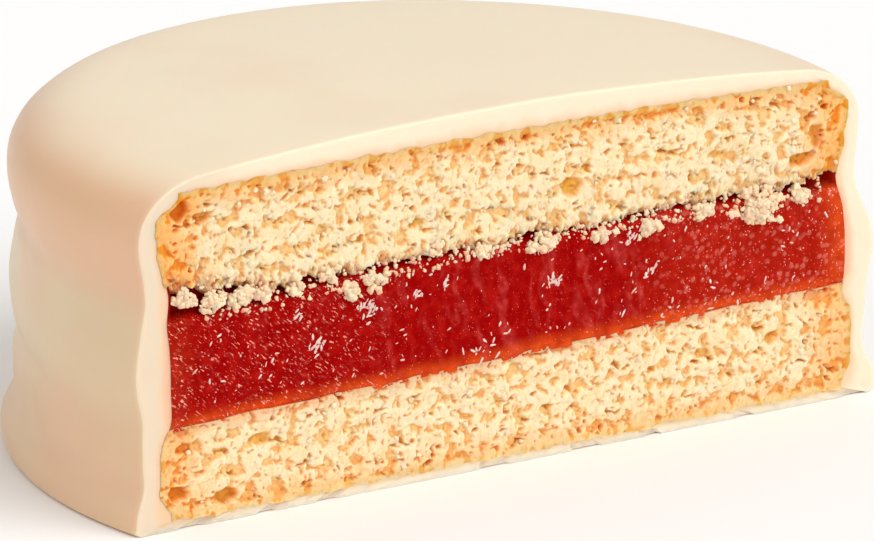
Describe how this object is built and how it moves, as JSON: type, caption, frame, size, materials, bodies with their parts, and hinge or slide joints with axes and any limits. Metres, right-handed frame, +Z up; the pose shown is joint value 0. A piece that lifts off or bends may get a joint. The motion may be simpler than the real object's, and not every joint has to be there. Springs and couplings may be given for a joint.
{
  "type": "alfajor cookie",
  "caption": "Half of a round sandwich biscuit with soft sponge layers and red jam inside a smooth white coating, cut straight down.",
  "frame": {"origin": "on the table, under the middle of the half's bounding box", "axes": "+X along the cut, the cut face looks along -Y, +Z up from the flat base to the crowned top"},
  "size_m": [0.0669, 0.0393, 0.027],
  "materials": {
    "white_coating": "satin",
    "sponge": "matte",
    "jam": "gloss"
  },
  "bodies": {
    "root": {"coating": "white_coating", "upper_biscuit": "sponge", "jam_filling": "jam", "lower_biscuit": "sponge"}
  },
  "joints": []
}
